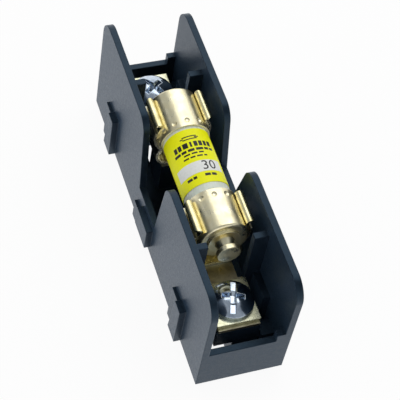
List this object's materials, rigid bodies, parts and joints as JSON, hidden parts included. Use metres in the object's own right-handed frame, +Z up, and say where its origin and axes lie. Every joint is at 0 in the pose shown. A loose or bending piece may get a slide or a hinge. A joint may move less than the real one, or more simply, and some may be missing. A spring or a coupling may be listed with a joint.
{
  "type": "fuse block with cartridge fuse",
  "caption": "Modular channel-shaped fuse block with spring clips holding a rejection-type cartridge fuse between two screw terminals.",
  "frame": {"origin": "axis of the central panel-mounting hole, at the underside", "axes": "+Z up from the panel, +Y along the fuse from its rejection tip to its plain end, +X to the side with the pockets"},
  "size_m": [0.0195, 0.0734, 0.0271],
  "materials": {
    "black_plastic": "fine matt",
    "clip_brass": "bright, rolled",
    "strip_brass": "bright plated",
    "spring_steel": "satin",
    "rivet_metal": "satin",
    "plate_zinc": "pale yellow zinc",
    "screw_zinc": "bright zinc",
    "nut_steel": "zinc",
    "tube_fibre": "semi-matt",
    "label_paper": "gloss print",
    "cap_metal": "bright plated",
    "link_copper": "bright copper",
    "disc_fibre": "matt",
    "solder": "dull",
    "plunger_brass": "satin",
    "coil_steel": "satin",
    "sand": "granular"
  },
  "bodies": {
    "base": {"housing": "black_plastic", "near_strip": "strip_brass", "far_strip": "strip_brass", "near_clip": "clip_brass", "far_clip": "clip_brass", "near_clip_spring": "spring_steel", "far_clip_spring": "spring_steel", "near_rivet": "rivet_metal", "far_rivet": "rivet_metal", "near_nut": "nut_steel", "far_nut": "nut_steel"},
    "fuse": {"fuse_tube": "tube_fibre", "fuse_label": "label_paper", "near_ferrule": "cap_metal", "far_ferrule": "cap_metal", "rejection_tip": "cap_metal", "short_link": "link_copper", "near_disc": "disc_fibre", "barrier_disc": "disc_fibre", "far_disc": "disc_fibre", "solder_joint": "solder", "plunger": "plunger_brass", "trigger_spring": "coil_steel", "sand_filler": "sand"},
    "near_clamp": {"near_plate": "plate_zinc"},
    "near_drive": {"near_screw": "screw_zinc"},
    "far_clamp": {"far_plate": "plate_zinc"},
    "far_drive": {"far_screw": "screw_zinc"}
  },
  "joints": [
    {"name": "fuse_lift", "type": "slide", "parent": "base", "child": "fuse", "axis": [0, 0, 1], "range_m": [0, 0.03], "deforming": ["near_clip", "far_clip", "near_clip_spring", "far_clip_spring"]},
    {"name": "near_clamp_lift", "type": "slide", "parent": "base", "child": "near_clamp", "axis": [0, 0, 1], "range_m": [0, 0.00317]},
    {"name": "near_screw_turn", "type": "hinge", "parent": "near_clamp", "child": "near_drive", "pos_m": [0, -0.0269, 0.012], "axis": [0, 0, 1], "range_deg": [0, 1441]},
    {"name": "far_clamp_lift", "type": "slide", "parent": "base", "child": "far_clamp", "axis": [0, 0, 1], "range_m": [0, 0.00317]},
    {"name": "far_screw_turn", "type": "hinge", "parent": "far_clamp", "child": "far_drive", "pos_m": [0, 0.0269, 0.012], "axis": [0, 0, 1], "range_deg": [0, 1441]}
  ],
  "couplings": [
    {"joint": "near_screw_turn", "follows": "near_clamp_lift", "rad_per_m": 7915.8},
    {"joint": "far_screw_turn", "follows": "far_clamp_lift", "rad_per_m": 7915.8}
  ]
}
